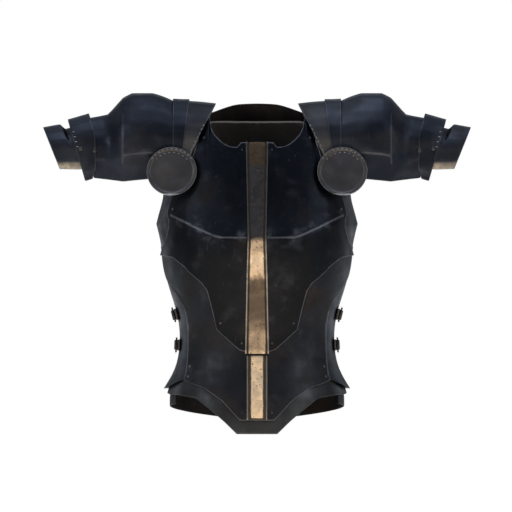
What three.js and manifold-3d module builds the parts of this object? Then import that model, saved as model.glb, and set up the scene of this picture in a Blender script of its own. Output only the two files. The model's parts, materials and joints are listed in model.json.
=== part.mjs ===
// Plate armour: a blued-steel cuirass with both pauldrons, shaped as worn with the arms straight out.
// Millimetres, +Z up, the front faces -Y, and the origin is at the base of the neck.
import * as THREE from 'three';
import { mergeVertices } from 'three/addons/utils/BufferGeometryUtils.js';
import Module from 'manifold-3d';

const wasm = await Module();
wasm.setup();
const { clamp, degToRad, lerp } = THREE.MathUtils;

// Plate thickness and the clear gap where one plate laps another
const steel = 1.5;
const lap = 2.4;
const layer = steel + lap;
const seat = 0.6; // gap where one piece is seated on another
const seated = steel + seat;
const weld = 1e-4; // points this close are one

// Torso sections from the top down: half width at the side, depth in front of it and depth behind it
const bulge = 0.87; // below 1 squares off the round section
const torsoRows = [
  { z: 44, half: 150, front: 30, back: 76 },
  { z: 10, half: 160, front: 48, back: 78 },
  { z: -14, half: 163, front: 72, back: 85 },
  { z: -47, half: 168, front: 94, back: 99 },
  { z: -100, half: 178, front: 115, back: 116 },
  { z: -148, half: 189, front: 131, back: 126 },
  { z: -208, half: 193, front: 150, back: 133 },
  { z: -236, half: 192, front: 160, back: 133, sharp: true },
  { z: -260, half: 191, front: 158, back: 131 },
  { z: -300, half: 187, front: 153, back: 126 },
  { z: -328, half: 180, front: 148, back: 121 },
  { z: -350, half: 171, front: 143, back: 117 },
  { z: -372, half: 165, front: 138, back: 113 },
  { z: -424, half: 155, front: 126, back: 105 },
  { z: -472, half: 157, front: 127, back: 109 },
  { z: -496, half: 163, front: 131, back: 114 },
  { z: -534, half: 177, front: 140, back: 125 },
  { z: -556, half: 180, front: 145, back: 130 },
  { z: -640, half: 176, front: 156, back: 136 },
];

// Rib on each flank of the backplate, and the lip that its lower edge turns out to
const flank = { z: -208, reach: 44, rise: 13, from: degToRad(60), full: degToRad(78), end: degToRad(140) };
const hipLip = { from: -498, to: -539, rise: 11, clear: degToRad(54), full: degToRad(66) };

// Crease across the chest: level in the middle, rising toward the sides
const crease = { z: -236, levelTo: degToRad(23), sideAngle: degToRad(64), sideZ: -188, waistZ: -424 };

// Section across a shoulder or arm from the top down: reach along Y and rise from the foot, as shares
const shoulderOutline = [
  { reach: 0, rise: 1 },
  { reach: 0.4, rise: 0.97 },
  { reach: 0.74, rise: 0.81 },
  { reach: 0.93, rise: 0.66 },
  { reach: 1, rise: 0.54 },
  { reach: 1, rise: 0.3 },
  { reach: 0.92, rise: 0.2 },
  { reach: 0.7, rise: 0 },
];
const bandOutline = [
  { reach: 0, rise: 1 },
  { reach: 0.4, rise: 0.97 },
  { reach: 0.74, rise: 0.87 },
  { reach: 0.93, rise: 0.74 },
  { reach: 1, rise: 0.63 },
  { reach: 1, rise: 0.13 },
  { reach: 0.95, rise: 0.05 },
  { reach: 0.86, rise: 0 },
];
const cuffOutline = [
  { reach: 0, rise: 1 },
  { reach: 0.4, rise: 0.97 },
  { reach: 0.74, rise: 0.83 },
  { reach: 0.93, rise: 0.68 },
  { reach: 1, rise: 0.55 },
  { reach: 1, rise: 0.13 },
  { reach: 0.95, rise: 0.05 },
  { reach: 0.86, rise: 0 },
];

// How the edges of shoulder and arm plates lean, and the distance of the shoulder walls from the middle
const straight = { frontKnee: 1, backKnee: 1 };
const cutBack = { frontKnee: 0.3, backKnee: 0.3 };
const strapDepth = 84;
const lameDepth = strapDepth + seated;

// Arm lames, right side: where each turns, how far it tips down, and its wall's distance from the middle
const tailDepth = 64;
const bandDepth = tailDepth + seated;
const bandPivot = { x: 324, z: -62, tip: degToRad(16) };
const cuffPivot = { x: 352, z: -58, tip: degToRad(22) };
const rivet = { shank: 2.5, clear: 0.4, head: 5, crown: 3.5, rise: 2.2, shoulder: 1.8, gap: 0.3, sides: 10 };

const disc = { x: 170, y: -108, z: -104, tilt: degToRad(15), sides: 32 };
const discFace = { radius: 50, thick: 3, rim: 4, rimRise: 2, swell: 1, crown: 2 };
const discPost = { x: 157, z: -63, radius: 4, sides: 12 };

const strapLeather = { thick: 2.5, seat: 1.2, half: 11, from: degToRad(78), to: degToRad(126), columns: 7 };
const buckle = { angle: degToRad(88), half: 15, reach: 10, bar: 3, thick: 3 };
const strapHeights = { upper: -388, lower: -450 };

const colours = {
  blued: new THREE.MeshStandardMaterial({ color: 0x1a202b, roughness: 0.42, metalness: 0.9 }),
  worn: new THREE.MeshStandardMaterial({ color: 0x2b2a2b, roughness: 0.45, metalness: 0.9 }),
  brass: new THREE.MeshStandardMaterial({ color: 0xa78a60, roughness: 0.4, metalness: 0.9 }),
  inside: new THREE.MeshStandardMaterial({ color: 0x14110e, roughness: 0.6, metalness: 0.8 }),
  leather: new THREE.MeshStandardMaterial({ color: 0x1c1613, roughness: 0.7, metalness: 0 }),
};

const armour = new THREE.Group();

function add(name, geometry, colour) {
  const mesh = new THREE.Mesh(geometry, colours[colour].clone());
  mesh.name = name;
  armour.add(mesh);
}

// One piece on each side: _r as modelled toward +X, _l its mirror image
function addPair(name, geometry, colour) {
  add(`${name}_r`, geometry, colour);
  add(`${name}_l`, mirrored(geometry), colour);
}

function mirrored(geometry) {
  const copy = geometry.clone().scale(-1, 1, 1);
  const index = copy.getIndex().array;
  for (let i = 0; i < index.length; i += 3) {
    [index[i], index[i + 1]] = [index[i + 1], index[i]];
  }
  return copy;
}

// Joining and cutting
function bare(geometry) {
  const copy = geometry.clone();
  copy.deleteAttribute('normal');
  copy.deleteAttribute('uv');
  return mergeVertices(copy, weld);
}

function solidOf(geometry) {
  const merged = bare(geometry);
  const vertProperties = new Float32Array(merged.getAttribute('position').array);
  const triVerts = new Uint32Array(merged.getIndex().array);
  return new wasm.Manifold(new wasm.Mesh({ numProp: 3, vertProperties, triVerts }));
}

function geometryOf(solid) {
  const mesh = solid.getMesh();
  const geometry = new THREE.BufferGeometry();
  geometry.setAttribute('position', new THREE.BufferAttribute(mesh.vertProperties, 3));
  geometry.setIndex(new THREE.BufferAttribute(mesh.triVerts, 1));
  return geometry;
}

// Smooth value of one table column at a height; a row marked sharp keeps its corner
function tableValue(rows, key, z) {
  const found = rows.findIndex((row) => row.z <= z);
  const i = found < 0 ? rows.length - 1 : Math.max(found, 1);
  const [upper, lower] = [rows[i - 1], rows[i]];
  const span = upper.z - lower.z;
  const chord = lower[key] - upper[key];
  const slope = (k) => (rows[k + 1][key] - rows[k][key]) / (rows[k].z - rows[k + 1].z);
  const tangent = (k) => {
    if (rows[k].sharp || k === 0 || k === rows.length - 1) {
      return chord;
    }
    const [before, after] = [slope(k - 1), slope(k)];
    return before * after <= 0 ? 0 : (span * 2 * before * after) / (before + after);
  };
  const t = clamp((upper.z - z) / span, 0, 1);
  const ease = t * t * (3 - 2 * t);
  const leave = t * (1 - t) * (1 - t) * tangent(i - 1);
  const arrive = t * t * (t - 1) * tangent(i);
  return upper[key] + chord * ease + leave + arrive;
}

const halfWidth = (z) => tableValue(torsoRows, 'half', z);

// Straight-line value between the rows of a short table, first column ascending
function between(rows, from, to, value) {
  const found = rows.findIndex((row) => row[from] >= value);
  const i = found < 0 ? rows.length - 1 : Math.max(found, 1);
  const [low, high] = [rows[i - 1], rows[i]];
  const t = clamp((value - low[from]) / (high[from] - low[from]), 0, 1);
  return lerp(low[to], high[to], t);
}

function creaseZ(angle) {
  const turn = (Math.abs(angle) - crease.levelTo) / (crease.sideAngle - crease.levelTo);
  return lerp(crease.z, crease.sideZ, clamp(turn, 0, 1));
}

// Height in the table that a front point takes its depth from, so that the ridge follows the crease
function creasedHeight(angle, z) {
  const ridge = creaseZ(angle);
  if (z >= 0 || z <= crease.waistZ) {
    return z;
  }
  if (z >= ridge) {
    return (z * crease.z) / ridge;
  }
  return lerp(crease.z, crease.waistZ, (z - ridge) / (crease.waistZ - ridge));
}

// Torso surface: angle is measured from the front centre, positive toward +X
function torsoPoint(angle, z) {
  const [sine, cosine] = [Math.sin(angle), Math.cos(angle)];
  const front = cosine > 0;
  const depth = tableValue(torsoRows, front ? 'front' : 'back', front ? creasedHeight(angle, z) : z);
  const x = Math.sign(sine) * halfWidth(z) * Math.abs(sine) ** bulge;
  const y = -Math.sign(cosine) * depth * Math.abs(cosine) ** bulge;
  return new THREE.Vector3(x, y, z);
}

function torsoNormal(angle, z) {
  const [turn, drop] = [0.02, 2];
  const around = torsoPoint(angle + turn, z).sub(torsoPoint(angle - turn, z));
  const upward = torsoPoint(angle, z + drop).sub(torsoPoint(angle, z - drop));
  return around.cross(upward).normalize();
}

function skin(angle, z, out) {
  return torsoPoint(angle, z).addScaledVector(torsoNormal(angle, z), out);
}

// Angle from the middle of the front or back at which a point stands at this distance to the side
function angleAt(x, z) {
  return Math.asin(Math.min(1, x / halfWidth(z)) ** (1 / bulge));
}

// Closed wall between two grids of points: outer columns run left to right, each from the top down
function wall(outer, inner) {
  const [across, down] = [outer.length, outer[0].length];
  const id = (side, i, j) => (side * across + i) * down + j;
  const index = [];
  const quad = (a, b, c, d) => index.push(a, b, c, a, c, d);
  for (let i = 0; i < across - 1; i++) {
    for (let j = 0; j < down - 1; j++) {
      quad(id(0, i, j), id(0, i, j + 1), id(0, i + 1, j + 1), id(0, i + 1, j));
      quad(id(1, i, j), id(1, i + 1, j), id(1, i + 1, j + 1), id(1, i, j + 1));
    }
    quad(id(0, i, 0), id(0, i + 1, 0), id(1, i + 1, 0), id(1, i, 0));
    quad(id(0, i, down - 1), id(1, i, down - 1), id(1, i + 1, down - 1), id(0, i + 1, down - 1));
  }
  for (let j = 0; j < down - 1; j++) {
    quad(id(0, 0, j), id(1, 0, j), id(1, 0, j + 1), id(0, 0, j + 1));
    quad(id(0, across - 1, j), id(0, across - 1, j + 1), id(1, across - 1, j + 1), id(1, across - 1, j));
  }
  const geometry = new THREE.BufferGeometry();
  const points = [...outer.flat(), ...inner.flat()].flatMap((point) => point.toArray());
  geometry.setAttribute('position', new THREE.Float32BufferAttribute(points, 3));
  geometry.setIndex(index);
  return geometry;
}

// Columns of a plate by share of its half angle: steady in the middle, bending to the edge further out
const steady = 0.75;
function plateAngle(share, least, most) {
  const bend = Math.max(0, Math.abs(share) - steady) / (1 - steady);
  return share * least + Math.sign(share) * bend * (most - least);
}

function plateShare(angle, least, most) {
  const bend = (most - least) / (1 - steady);
  return angle <= steady * least ? angle / least : (angle + steady * bend) / (least + bend);
}

// Edge of a plate as share against height; a corner is given by its distance to the side
function edgeShares(corners, least, halfAngle) {
  const shareAt = (x, z) => plateShare(angleAt(x, z), least, halfAngle(z));
  return corners.map(({ x, z, share }) => ({ z, share: share ?? shareAt(x, z) }));
}

// Shares at which a plate has columns: every corner of both edges, with wide stretches divided
function columnShares(edges, halfAngle, step) {
  const corners = [...new Set(edges.flat().map((corner) => corner.share))].sort((a, b) => a - b);
  const half = [corners[0]];
  for (const share of corners.slice(1)) {
    const last = half.at(-1);
    const parts = Math.ceil(((share - last) * halfAngle) / step);
    for (let k = 1; k <= parts; k++) {
      half.push(lerp(last, share, k / parts));
    }
  }
  return [...half.slice(1).reverse().map((share) => -share), ...half];
}

// Torso plate, alike on both sides of its middle; heights lists the rows of a column
function torsoPlate({ middle, least, halfAngle, top, bottom, out, heights, step }) {
  const edges = [top, bottom].map((corners) => edgeShares(corners, least, halfAngle));
  const angle = (share, z) => middle + plateAngle(share, least, halfAngle(z));
  const columns = columnShares(edges, least, step);
  const grid = (depth) => columns.map((share) => {
    const [high, low] = edges.map((edge) => between(edge, 'share', 'z', Math.abs(share)));
    return heights(high, low, angle(share, low)).map((z) => {
      const turn = angle(share, z);
      return skin(turn, z, out(z, turn) - depth);
    });
  });
  return wall(grid(0), grid(steel));
}

function evenRows(count) {
  return (high, low) => Array.from({ length: count + 1 }, (_, k) => lerp(high, low, k / count));
}

// Rows that meet at a fixed height
function splitRows(middle, above, below) {
  return (high, low) => [...evenRows(above)(high, middle), ...evenRows(below)(middle, low).slice(1)];
}

function creasedRows(above, below) {
  return (high, low, angle) => {
    const ridge = clamp(creaseZ(angle), low + steel, high - steel);
    return splitRows(ridge, above, below)(high, low);
  };
}

function angleTable(rows) {
  const ascending = [...rows].sort((a, b) => a.z - b.z);
  return (z) => degToRad(between(ascending, 'z', 'degrees', z));
}

// Widest turn between two columns of a plate, in front and behind
const frontStep = degToRad(8);
const backStep = degToRad(10);

// Breastplate: neckline with a raised middle, shoulder tabs, armholes, and a tongue over the belly plate
const chestStep = { from: -200, to: -250 }; // where it rises over the belly plate
function breastOut(z) {
  const risen = clamp((z - chestStep.from) / (chestStep.to - chestStep.from), 0, 1);
  return layer + (layer + seat / 2) * risen;
}
const breastHalf = angleTable([
  { z: -154, degrees: 60 },
  { z: -188, degrees: 65 },
  { z: -208, degrees: 60 },
  { z: -240, degrees: 65 },
  { z: -270, degrees: 77 },
]);
const tongueEdge = [
  { x: 0, z: -468 },
  { x: 34, z: -460 },
  { x: 78, z: -418 },
  { x: 86, z: -380 },
  { x: 96, z: -340 },
  { x: 106, z: -325 },
  { x: 134, z: -300 },
  { x: 162, z: -274 },
  { share: 1, z: -270 },
];
add('breastplate', torsoPlate({
  middle: 0,
  least: degToRad(60),
  halfAngle: breastHalf,
  step: frontStep,
  top: [
    { x: 0, z: -47 },
    { x: 32, z: -47 },
    { x: 39, z: -56 },
    { x: 53, z: -56 },
    { x: 68, z: -48.5 },
    { x: 84, z: -32 },
    { x: 92, z: -16 },
    { x: 95, z: 19.4 },
    { x: 101, z: 19.4 },
    { x: 116, z: -40 },
    { x: 128, z: -80 },
    { x: 154, z: -130 },
    { share: 1, z: -154 },
  ],
  bottom: tongueEdge,
  out: breastOut,
  heights: creasedRows(6, 6),
}), 'blued');

// Belly plate: tucked under the tongue, cut back at the waist, with a point at the bottom
const bellyHalf = angleTable([
  { z: -256, degrees: 79 },
  { z: -322, degrees: 77 },
  { z: -336, degrees: 70 },
  { z: -370, degrees: 58 },
  { z: -460, degrees: 59 },
  { z: -514, degrees: 54 },
]);
const bellyEdge = [
  { x: 0, z: -600 },
  { x: 34, z: -600 },
  { x: 70, z: -560 },
  { x: 104, z: -536 },
  { share: 1, z: -521 },
];
add('belly_plate', torsoPlate({
  middle: 0,
  least: degToRad(54),
  halfAngle: bellyHalf,
  step: frontStep,
  top: [
    { x: 0, z: -442 },
    { x: 50, z: -405 },
    { x: 84, z: -322 },
    { x: 120, z: -288 },
    { share: 1, z: -252 },
  ],
  bottom: bellyEdge,
  out: () => layer,
  heights: evenRows(11),
}), 'worn');

// Hem: a lame under the belly plate's lower edge, its ends seated inside the backplate
const hemEnds = { from: degToRad(48), full: degToRad(56) };
const hemSeat = (angle) => clamp((Math.abs(angle) - hemEnds.from) / (hemEnds.full - hemEnds.from), 0, 1);
add('hem_strip', torsoPlate({
  middle: 0,
  least: degToRad(64),
  halfAngle: () => degToRad(64),
  step: frontStep,
  top: [
    { x: 0, z: -580 },
    { x: 30, z: -580 },
    { x: 70, z: -540 },
    { x: 104, z: -518 },
    { share: 1, z: -512 },
  ],
  bottom: [
    { x: 0, z: -626 },
    { x: 41, z: -626 },
    { x: 66, z: -602 },
    { x: 92, z: -580 },
    { x: 124, z: -554 },
    { share: 1, z: -548 },
  ],
  out: (z, angle) => -lerp(layer + seat / 2, seated + seat / 2, hemSeat(angle)),
  heights: evenRows(3),
}), 'worn');

// Backplate: round the sides to the front, under the edges of the breastplate and belly plate
const backFront = angleTable([
  { z: -150, degrees: 54 },
  { z: -188, degrees: 57 },
  { z: -208, degrees: 52 },
  { z: -240, degrees: 57 },
  { z: -270, degrees: 68 },
  { z: -322, degrees: 67 },
  { z: -370, degrees: 49 },
  { z: -460, degrees: 50 },
  { z: -534, degrees: 46 },
]);
function backOut(z, angle) {
  const side = Math.abs(angle > Math.PI ? angle - 2 * Math.PI : angle);
  const rising = (side - flank.from) / (flank.full - flank.from);
  const falling = (flank.end - side) / (flank.end - flank.full);
  const ramp = clamp(Math.min(rising, falling), 0, 1);
  const rib = flank.rise * ramp * Math.max(0, 1 - Math.abs(z - flank.z) / flank.reach);
  const turned = clamp((z - hipLip.from) / (hipLip.to - hipLip.from), 0, 1);
  const past = clamp((side - hipLip.clear) / (hipLip.full - hipLip.clear), 0, 1);
  return rib + hipLip.rise * turned * turned * past;
}
add('backplate', torsoPlate({
  middle: Math.PI,
  least: degToRad(112),
  halfAngle: (z) => Math.PI - backFront(z),
  step: backStep,
  top: [
    { x: 0, z: -2 },
    { x: 90, z: -1 },
    { x: 100, z: -5.5 },
    { x: 126, z: -46 },
    { x: 142, z: -80 },
    { x: 156, z: -122 },
    { share: 0.56, z: -140 },
    { share: 1, z: -146 },
  ],
  bottom: [
    { x: 0, z: hipLip.to },
    { share: 0.824, z: hipLip.to },
    { share: 0.912, z: -524 },
    { share: 1, z: -512 },
  ],
  out: backOut,
  heights: (high, low) => splitRows(flank.z, 4, 8)(high, hipLip.to).map((z) => Math.max(z, low)),
}), 'blued');

add('back_collar', torsoPlate({
  middle: Math.PI,
  least: degToRad(33),
  halfAngle: () => degToRad(33),
  step: backStep,
  top: [
    { x: 0, z: 34 },
    { x: 44, z: 32 },
    { share: 1, z: 14 },
  ],
  bottom: [
    { x: 0, z: -22 },
    { share: 1, z: -22 },
  ],
  out: () => seated + seat,
  heights: evenRows(3),
}), 'blued');

// Culet: rear skirt under the backplate's lower edge
add('culet', torsoPlate({
  middle: Math.PI,
  least: degToRad(114),
  halfAngle: () => degToRad(114),
  step: backStep,
  top: [
    { x: 0, z: hipLip.from },
    { share: 1, z: hipLip.from },
  ],
  bottom: [
    { x: 0, z: -602 },
    { share: 0.25, z: -592 },
    { share: 0.5, z: -582 },
    { share: 0.75, z: -573 },
    { share: 1, z: -567 },
  ],
  out: (z) => -lerp(seated + 2 * seat, layer + seat, clamp((hipLip.from - z) / layer, 0, 1)),
  heights: evenRows(5),
}), 'inside');

// Brass bands down the middle: a thin floor between two raised borders
const brass = { floor: 1.5, border: 3.2, borderWidth: 4, bevel: 1 };
function bandPlate(heights, halfBand, base) {
  const columns = (z) => {
    const half = halfBand(z);
    const inside = half - brass.borderWidth;
    return [
      { x: -half, rise: brass.border },
      { x: -inside, rise: brass.border },
      { x: brass.bevel - inside, rise: brass.floor },
      { x: 0, rise: brass.floor },
      { x: inside - brass.bevel, rise: brass.floor },
      { x: inside, rise: brass.border },
      { x: half, rise: brass.border },
    ];
  };
  const point = (z, { x, rise }, top) => {
    const out = base(z) + seat + (top ? rise : 0);
    return skin(Math.sign(x) * angleAt(Math.abs(x), z), z, out);
  };
  const grid = (top) => columns(heights[0]).map((_, i) => heights.map((z) => point(z, columns(z)[i], top)));
  return wall(grid(true), grid(false));
}
const upperBandHalf = (z) => between([
  { z: -468, half: 23 },
  { z: -300, half: 20 },
  { z: crease.z, half: 18 },
  { z: -48, half: 22 },
], 'z', 'half', z);
const lowerBandHalf = 20;
const bandEnds = { top: -47.5, seamAbove: -467, seamBelow: -471, bottom: -599 };
const upperBandRows = splitRows(crease.z, 6, 6)(bandEnds.top, bandEnds.seamAbove);
const lowerBandRows = evenRows(5)(bandEnds.seamBelow, bandEnds.bottom);
add('band_upper', bandPlate(upperBandRows, upperBandHalf, breastOut), 'brass');
add('band_lower', bandPlate(lowerBandRows, () => lowerBandHalf, () => layer), 'brass');

// Wall over a shoulder or arm, from back to front: each station stands at x from its top down to the knee,
// and moves outward by its lean from there to its lower edge
function armWall(stations, outline, { frontKnee, backKnee }) {
  const front = outline.slice(1).map(({ reach, rise }) => ({ reach: -reach, rise, knee: frontKnee }));
  const back = outline.map(({ reach, rise }) => ({ reach, rise, knee: backKnee })).reverse();
  const foot = outline.at(-1).rise;
  const grid = (thick) => stations.map(({ x, lean = 0, top, bottom, depth }) =>
    [...back, ...front].map(({ reach, rise, knee }) => new THREE.Vector3(
      x + lean * clamp((knee - rise) / (knee - foot), 0, 1),
      (depth - thick) * reach,
      lerp(bottom, top - thick, rise),
    )));
  return wall(grid(0), grid(steel));
}

// Arm lame in its pivot's own directions, moved to where it hangs
function atPivot(geometry, pivot) {
  return geometry.rotateY(pivot.tip).translate(pivot.x, 0, pivot.z);
}

function rivetHole(geometry, pivot) {
  const radius = rivet.shank + rivet.clear;
  const throughBoth = 4 * tailDepth;
  const drill = new THREE.CylinderGeometry(radius, radius, throughBoth, rivet.sides);
  drill.translate(pivot.x, 0, pivot.z);
  return geometryOf(solidOf(geometry).subtract(solidOf(drill)));
}

addPair('shoulder_strap', armWall([
  { x: 82, lean: 53, top: 33.5, bottom: -116, depth: strapDepth },
  { x: 115, lean: 29, top: 37.5, bottom: -116, depth: strapDepth },
  { x: 148, lean: 5, top: 39, bottom: -116, depth: strapDepth },
], shoulderOutline.slice(0, -2), straight), 'worn');

addPair('shoulder_lame', armWall([
  { x: 135, lean: 14, top: 42, bottom: -116, depth: lameDepth },
  { x: 152, lean: 6, top: 42, bottom: -116, depth: lameDepth },
  { x: 168, top: 43, bottom: -116, depth: lameDepth },
], shoulderOutline.slice(0, -2), straight), 'blued');

const pauldron = armWall([
  { x: 154, top: 32, bottom: -112, depth: 83.5 },
  { x: 184, top: 47, bottom: -116, depth: 84.8 },
  { x: 208, top: 54, bottom: -117, depth: 86.4 },
  { x: 250, top: 54, bottom: -121, depth: 86.4 },
  { x: 268, top: 45, bottom: -123, depth: 84 },
  { x: 298, top: 11, bottom: -119, depth: tailDepth },
  { x: 348, lean: -22, top: 2, bottom: -116, depth: tailDepth },
], shoulderOutline, straight);
addPair('pauldron', rivetHole(pauldron, bandPivot), 'blued');

const armBand = atPivot(armWall([
  { x: -9, lean: 30, top: 76, bottom: -52, depth: bandDepth },
  { x: 13, lean: 12, top: 76, bottom: -52, depth: bandDepth },
  { x: 35, top: 76, bottom: -52, depth: bandDepth },
], bandOutline, cutBack), bandPivot);
addPair('arm_band', rivetHole(rivetHole(armBand, bandPivot), cuffPivot), 'blued');

const armCuff = atPivot(armWall([
  { x: -12, lean: 22, top: 46, bottom: -38, depth: tailDepth },
  { x: 14, lean: 2, top: 49, bottom: -37, depth: tailDepth },
  { x: 20, top: 62, bottom: -36, depth: tailDepth },
  { x: 54, top: 69, bottom: -21, depth: tailDepth },
], cuffOutline, cutBack), cuffPivot);
addPair('arm_cuff', rivetHole(armCuff, cuffPivot), 'blued');

// Pivot rivets: a shank through both walls with a head at each end
function rivetGeometry(wallY, turn) {
  const reach = steel + seat + steel + 2 * rivet.gap;
  const profile = [
    [0, -rivet.rise],
    [rivet.head, -rivet.rise],
    [rivet.head, 0],
    [rivet.shank, 0],
    [rivet.shank, reach],
    [rivet.head, reach],
    [rivet.crown, reach + rivet.shoulder],
    [0, reach + rivet.rise],
  ].map(([radius, along]) => new THREE.Vector2(radius, along));
  return new THREE.LatheGeometry(profile, rivet.sides).rotateX(turn).translate(0, wallY, 0);
}
const innerFace = tailDepth - steel - rivet.gap;
for (const [name, pivot] of [['band_rivet', bandPivot], ['cuff_rivet', cuffPivot]]) {
  for (const [end, wallY, turn] of [['front', -innerFace, Math.PI], ['back', innerFace, 0]]) {
    const geometry = rivetGeometry(wallY, turn).translate(pivot.x, 0, pivot.z);
    addPair(`${name}_${end}`, geometry, 'worn');
  }
}

// Discs in front of the armpits, each on a hidden post from the shoulder lame
const discProfile = [
  [0, 0],
  [discFace.radius, 0],
  [discFace.radius, discFace.thick + discFace.rimRise],
  [discFace.radius - discFace.rim, discFace.thick + discFace.rimRise],
  [discFace.radius - discFace.rim - discFace.rimRise, discFace.thick],
  [discFace.radius / 2, discFace.thick + discFace.swell],
  [0, discFace.thick + discFace.crown],
].map(([radius, along]) => new THREE.Vector2(radius, along));
const discPlate = new THREE.LatheGeometry(discProfile, disc.sides);
discPlate.rotateX(Math.PI - disc.tilt).translate(disc.x, disc.y, disc.z);
const postEnd = disc.y + (discPost.z - disc.z) * Math.tan(disc.tilt) - discFace.thick / 2;
const postFoot = -lameDepth - rivet.gap;
const postLength = postFoot - postEnd;
const post = new THREE.CylinderGeometry(discPost.radius, discPost.radius, postLength, discPost.sides);
post.translate(discPost.x, (postFoot + postEnd) / 2, discPost.z);
addPair('besagew', geometryOf(solidOf(discPlate).add(solidOf(post))), 'worn');

// Leather straps round the sides, each with a buckle
function sideStrap(z) {
  const angles = evenRows(strapLeather.columns)(strapLeather.from, strapLeather.to);
  const heights = evenRows(2)(z + strapLeather.half, z - strapLeather.half);
  const grid = (out) => angles.map((angle) => heights.map((height) => skin(angle, height, out)));
  return wall(grid(strapLeather.seat + strapLeather.thick), grid(strapLeather.seat));
}

function buckleGeometry(z) {
  const { half, reach, bar, thick } = buckle;
  const opening = { wide: reach - bar - bar / 2, high: 2 * (half - bar), x: reach / 2 - bar / 4 };
  const block = (wide, high, deep, x) => solidOf(new THREE.BoxGeometry(wide, high, deep).translate(x, 0, 0));
  const cut = (x) => block(opening.wide, opening.high, 2 * thick, x);
  const frame = block(2 * reach, 2 * half, thick, 0).subtract(cut(-opening.x)).subtract(cut(opening.x));
  const geometry = geometryOf(frame).translate(0, 0, thick / 2);
  const out = torsoNormal(buckle.angle, z);
  const along = new THREE.Vector3(0, 0, 1).cross(out).normalize();
  const place = new THREE.Matrix4().makeBasis(along, out.clone().cross(along), out);
  place.setPosition(skin(buckle.angle, z, strapLeather.seat + strapLeather.thick + seat));
  return geometry.applyMatrix4(place);
}

for (const [name, z] of Object.entries(strapHeights)) {
  addPair(`side_strap_${name}`, sideStrap(z), 'leather');
  addPair(`buckle_${name}`, buckleGeometry(z), 'worn');
}

export default armour;
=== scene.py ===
import json
import math

import bmesh
import bpy
from mathutils import Matrix, Vector
from mathutils.kdtree import KDTree

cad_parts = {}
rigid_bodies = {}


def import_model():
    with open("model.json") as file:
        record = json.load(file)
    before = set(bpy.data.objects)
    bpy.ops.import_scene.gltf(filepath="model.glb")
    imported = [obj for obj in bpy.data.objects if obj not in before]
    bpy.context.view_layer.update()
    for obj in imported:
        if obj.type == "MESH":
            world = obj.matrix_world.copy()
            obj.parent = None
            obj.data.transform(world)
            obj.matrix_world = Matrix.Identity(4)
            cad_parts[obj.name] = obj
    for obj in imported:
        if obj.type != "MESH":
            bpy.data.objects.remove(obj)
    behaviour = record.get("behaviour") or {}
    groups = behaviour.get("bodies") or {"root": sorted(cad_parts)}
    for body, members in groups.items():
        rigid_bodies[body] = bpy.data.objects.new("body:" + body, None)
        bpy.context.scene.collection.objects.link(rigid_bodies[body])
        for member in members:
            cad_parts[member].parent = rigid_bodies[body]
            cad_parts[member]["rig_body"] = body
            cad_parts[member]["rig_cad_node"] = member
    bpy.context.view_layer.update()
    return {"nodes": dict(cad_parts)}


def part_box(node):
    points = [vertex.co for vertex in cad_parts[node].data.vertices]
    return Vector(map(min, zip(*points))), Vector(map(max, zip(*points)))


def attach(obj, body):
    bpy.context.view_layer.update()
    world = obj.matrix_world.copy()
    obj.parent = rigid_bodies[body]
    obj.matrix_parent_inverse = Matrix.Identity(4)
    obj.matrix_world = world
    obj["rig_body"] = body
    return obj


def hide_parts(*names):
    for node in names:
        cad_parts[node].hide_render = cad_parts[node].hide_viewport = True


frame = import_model()
nodes = frame["nodes"]
sides = {"r": 1, "l": -1}
print("frame loaded:", len(nodes), "nodes")


# camera and studio
studio = {
    "pixel": 0.002,             # metres to a pixel of the photo at the object
    "photoSize": 512,
    "originPixel": (257, 120),
    "cameraDistance": 30.0,
    "sensor": 36,
    "clipEnd": 100,
    "floorHeight": -1.15,
    "floorSize": 60,
    "floorBack": 10,
    "floorRoughness": 0.9,
    "floorColour": (0.80, 0.77, 0.72, 1),
    "floorGlow": 0.45,          # what the floor throws up at the armour
    "floorSeen": 1.4,           # as white as the backdrop in the picture
    "backdrop": (1.0, 1.0, 1.0, 1),
    "skyCool": (0.44, 0.52, 0.68, 1),
    "skyLevel": (0.24, 0.243, 0.252, 1),
    "skyWarm": (1.0, 0.86, 0.70, 1),
    "levelSpan": (0.42, 0.62),  # shares of the way from straight down to straight up
}
softboxes = {                   # those off the middle are set on both sides
    "top_box": {"place": (0, -0.4, 2.6), "aim": -0.2, "size": (2.6, 1.6), "watts": 22,
                "tint": (0.80, 0.87, 1.0)},
    "box": {"place": (2.6, -2.2, 1.1), "aim": -0.2, "size": (1.2, 1.6), "watts": 24,
            "tint": (0.84, 0.9, 1.0)},
    "rim": {"place": (2.6, 1.9, 0.1), "aim": -0.3, "size": (1.4, 2.2), "watts": 7,
            "tint": (0.78, 0.88, 1.0)},
    "low_box": {"place": (0, -2.2, -1.05), "aim": -0.45, "size": (2.4, 0.7), "watts": 15,
                "tint": (1.0, 0.84, 0.66)},
}


def photoPlace(px, py):
    column, row = studio["originPixel"]
    return (px - column) * studio["pixel"], (row - py) * studio["pixel"]


def makeCamera():
    x, z = photoPlace(studio["photoSize"] / 2, studio["photoSize"] / 2)
    bpy.ops.object.camera_add(location=(x, -studio["cameraDistance"], z), rotation=(math.pi / 2, 0, 0))
    camera = bpy.context.object
    camera.name = "photo_camera"
    frameWidth = studio["photoSize"] * studio["pixel"]
    camera.data.sensor_width = studio["sensor"]
    camera.data.lens = studio["sensor"] * studio["cameraDistance"] / frameWidth
    camera.data.clip_end = studio["clipEnd"]
    bpy.context.scene.camera = camera
    bpy.context.scene.view_settings.view_transform = "Standard"


def softbox(name, place, s):
    bpy.ops.object.light_add(type="AREA", location=place)
    box = bpy.context.object
    box.name = name
    box.data.shape = "RECTANGLE"
    box.data.size, box.data.size_y = s["size"]
    box.data.energy = s["watts"]
    box.data.color = s["tint"]
    toward = Vector((0, 0, s["aim"])) - Vector(place)
    box.rotation_euler = toward.to_track_quat("-Z", "Y").to_euler()


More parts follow.
